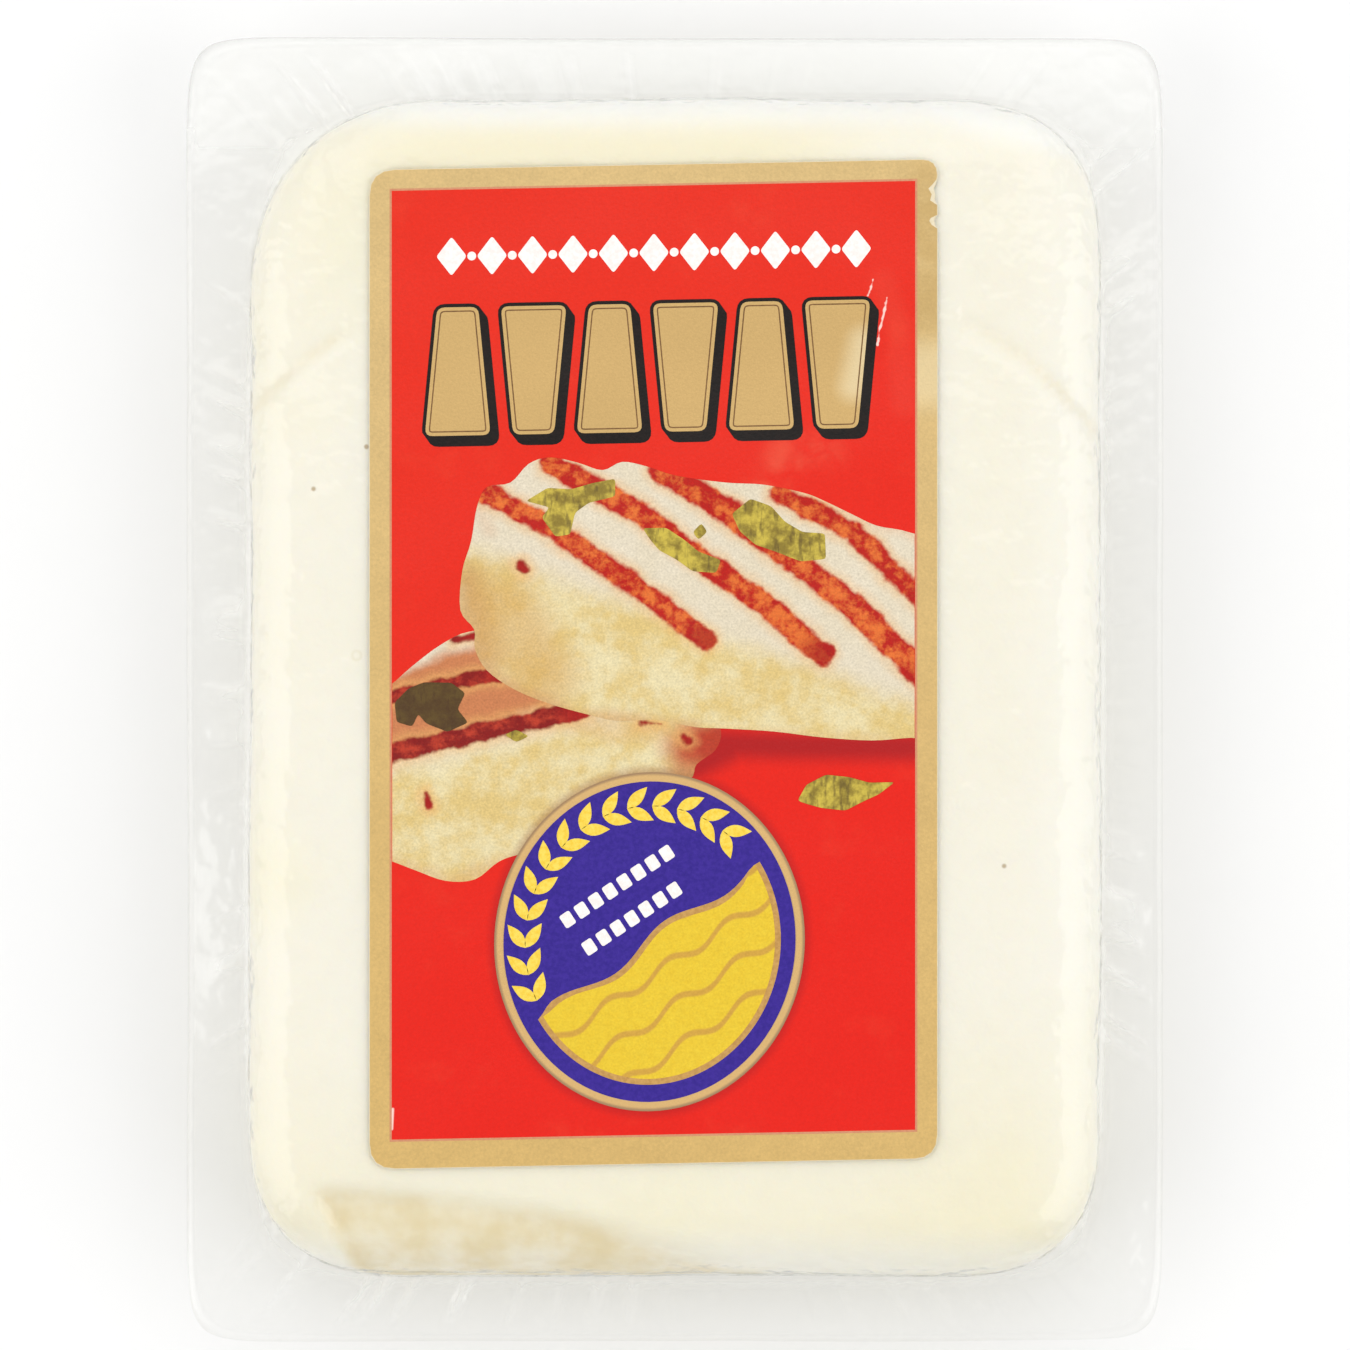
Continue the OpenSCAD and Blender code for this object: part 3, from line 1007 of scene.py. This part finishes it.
def make_tiles(gold, line, black):
    """The row of six gold tiles in the name's place, with black outlines and shadows."""
    faces, shadows = [], []
    for i in range(TILES):
        middle = -0.6 + (i - (TILES - 1) / 2) * TILE_STEP
        low, high = (TILE_WIDE, TILE_NARROW) if i % 2 == 0 else (TILE_NARROW, TILE_WIDE)
        outline = eased([(middle - low, TILE_LOW), (middle + low, TILE_LOW),
                         (middle + high, TILE_HIGH), (middle - high, TILE_HIGH)], 0.8)
        face = flat("tiles", outline)
        face.data.materials.append(gold)
        face.data.materials.append(line)
        for width, slot in ((0.34, 1), (0.14, 0)):
            everything(face)
            bpy.ops.mesh.select_mode(type="FACE")
            bpy.ops.mesh.select_all(action="DESELECT")
            bpy.ops.object.mode_set(mode="OBJECT")
            inner = max(face.data.polygons, key=lambda polygon: polygon.area)
            inner.select = True
            face.data.polygons.active = inner.index
            bpy.ops.object.mode_set(mode="EDIT")
            bpy.ops.mesh.inset(thickness=width * MM)
            face.active_material_index = slot
            bpy.ops.object.material_slot_assign()
            deselect()
        faces.append(face)
        edge = anticlockwise(outline)
        away = outward(edge)
        shaded = (away @ TILE_SHADOW > 0)[:, None]
        shadows.append(edge + away * 0.36 + shaded * np.array(TILE_SHADOW))
    tiles = join("name_tiles", faces)
    stack(tiles)
    return [tiles, printed_piece("tile_shadows", shadows, black)]


def make_marks(white):
    """Plain lozenges and dots in place of the small line of words."""
    outlines = []
    v = LOZENGE_V
    for i in range(LOZENGES):
        u = LOZENGE_START + i * LOZENGE_STEP
        outlines.append(eased([(u - 1.55, v), (u, v - 2), (u + 1.55, v), (u, v + 2)], 0.3))
        if i < LOZENGES - 1:
            outlines.append(oval_outline((u + LOZENGE_STEP / 2, v), 0.45, 0.45, 20))
    return printed_piece("white_marks", outlines, white)


def make_badge(rim, blue, edge, field, leaf, white):
    whole = oval_outline(BADGE, BADGE_U, BADGE_V)
    inside = oval_outline(BADGE, BADGE_U - BADGE_RIM, BADGE_V - BADGE_RIM)
    pieces = [printed_piece("badge_rim", [whole], rim),
              printed_piece("badge_blue", [inside], blue)]
    for name, inset, material in (("field_edge", 0.0, edge), ("fields", 0.6, field)):
        hu, hv = 13.4 - inset, 14.6 - inset
        arc = oval_outline(BADGE, hu, hv, 60, 212, 393)
        t = np.linspace(0, 1, 40)[1:-1, None]
        line = arc[-1] + (arc[0] - arc[-1]) * t
        ends = np.minimum(1, 5 * np.sin(np.pi * t))
        wave = (np.sin((1 - t) * 4 * np.pi + 0.5) * 0.75 - inset) * ends
        outline = np.concatenate([arc, line + wave * FIELD_UP])
        pieces.append(printed_piece(name, [outline], material))
    leaves = []
    for degrees in np.arange(54, 206, 11.6):
        a = math.radians(degrees)
        root = (BADGE[0] + 0.8 * BADGE_U * math.cos(a), BADGE[1] + 0.8 * BADGE_V * math.sin(a))
        ahead = math.atan2(-BADGE_V * math.cos(a), BADGE_U * math.sin(a))
        for turn in (-0.62, 0.62):
            leaves.append(leaf_outline(root, ahead + turn, 3.0, 1.25))
    pieces.append(printed_piece("wreath", leaves, leaf))
    bars = []
    c, s = math.cos(TILT), math.sin(TILT)
    for middle, count in (((-3.7, -22.6), 8), ((-2.2, -25.9), 7)):
        for i in range(count):
            shift = (i - (count - 1) / 2) * 1.72
            u, v = middle[0] + shift * c, middle[1] + shift * s
            turned = np.array(box_outline(-0.6, -0.75, 0.6, 0.75)) @ np.array([(c, s), (-s, c)])
            bars.append(eased(turned + (u, v), 0.25))
    pieces.append(printed_piece("badge_marks", bars, white))
    return pieces


def make_label():
    card = paint_card()
    gold = paint_gold()
    white = paint_plain("white_ink", rgb(246, 236, 230), rgb(254, 250, 247), dots=0.04)
    field = box_outline(-RED_U, RED_LOW, RED_U, RED_HIGH)
    key = box_outline(-RED_U - KEYLINE_W, RED_LOW - KEYLINE_W,
                      RED_U + KEYLINE_W, RED_HIGH + KEYLINE_W)
    pieces = [
        printed_piece("label_card", [label_outline(0.0, 0.35)], card, thick=0.08),
        printed_piece("gold_border", [label_outline(0.06, 0.8)], gold, thick=0.02),
        printed_piece("keyline", [key], paint_keyline()),
        printed_piece("red_field", [field], paint_red()),
    ]
    slices = []
    for name, outline, side, ridge, shades, marks in (
            ("lower_slice", LOWER_SLICE, -TRIM_U, LOWER_RIDGE, LOWER_SHADES, LOWER_MARKS),
            ("upper_slice", UPPER_SLICE, TRIM_U, UPPER_RIDGE, UPPER_SHADES, UPPER_MARKS)):
        piece = flat(name, rounded(outline, 4))
        trim(piece, side)
        stack(piece)
        piece.data.materials.append(paint_slice(name, ridge, shades, marks))
        slices.append(piece)
    leaves = [eased(outline, 0.3, 2) for outline in HERBS]
    herbs = printed_piece("herbs", leaves, paint_herb())
    tiles = make_tiles(
        paint_tiles(),
        paint_plain("brown_line", rgb(110, 78, 44), rgb(134, 98, 58)),
        paint_plain("black_ink", rgb(14, 8, 5), rgb(26, 15, 10)))
    marks = make_marks(white)
    badge = make_badge(
        paint_rim(),
        paint_plain("blue_ink", rgb(48, 28, 136), rgb(60, 38, 150)),
        paint_plain("field_edge_ink", rgb(186, 140, 76), rgb(206, 160, 92)),
        paint_fields(),
        paint_plain("leaf_ink", rgb(242, 202, 60), rgb(250, 222, 96)),
        white)
    return pieces + slices + [herbs, marks] + tiles + badge


# --- Stage, lights and camera ---

TABLE_SIZE = 3.0  # in metres, as are all the places and sizes here
TABLE_GAP = 0.00005  # keeps the table clear of the film's flat foot
CAMERA_PLACE = (0, 0.0015, 0.596)
CAMERA_LENS, CAMERA_SENSOR = 150, 36
WORLD_LIGHT = 0.55


def make_table():
    deselect()
    bpy.ops.mesh.primitive_plane_add(size=TABLE_SIZE, location=(0, 0, -TABLE_GAP))
    table = named("table")
    table.data.materials.append(paint_table())


def area_light(name, place, size, watts):
    """A soft round light, aimed at the pack."""
    deselect()
    bpy.ops.object.light_add(type="AREA", location=place)
    light = bpy.context.object
    light.name = name
    light.data.shape = "DISK"
    light.data.size = size
    light.data.energy = watts
    light.rotation_euler = Vector(place).to_track_quat("Z", "Y").to_euler()


def make_camera():
    deselect()
    bpy.ops.object.camera_add(location=CAMERA_PLACE, rotation=(0, 0, 0))
    camera = bpy.context.object
    camera.data.lens = CAMERA_LENS
    camera.data.sensor_width = CAMERA_SENSOR
    camera.data.clip_start = 0.05
    bpy.context.scene.camera = camera


def make_world():
    world = bpy.data.worlds.new("studio")
    bpy.context.scene.world = world
    world.use_nodes = True
    back = world.node_tree.nodes["Background"]
    back.inputs["Color"].default_value = (1, 1, 1, 1)
    back.inputs["Strength"].default_value = WORLD_LIGHT
    bpy.context.scene.view_settings.view_transform = "Standard"


make_camera()
make_world()
make_table()
area_light("far_light", (0.0, 0.62, 0.62), 1.3, 3.25)
area_light("left_light", (-0.75, -0.2, 0.6), 1.0, 3.48)
area_light("right_light", (0.75, -0.2, 0.6), 1.0, 3.48)

cheese = make_cheese()
skin = make_skin(cheese)
border = make_border()
label = make_label()

for piece in [cheese, skin, border]:
    take(piece)
    bpy.ops.object.shade_smooth()
slots = [(cheese, "cheese"), (skin, "clear_film"), (border, "clear_film")]
for piece, slot in slots + [(piece, "label_print") for piece in label]:
    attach(piece, "root")
for piece in (cheese, skin, border):
    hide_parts("bag")
for piece in label:
    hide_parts("label")
deselect()
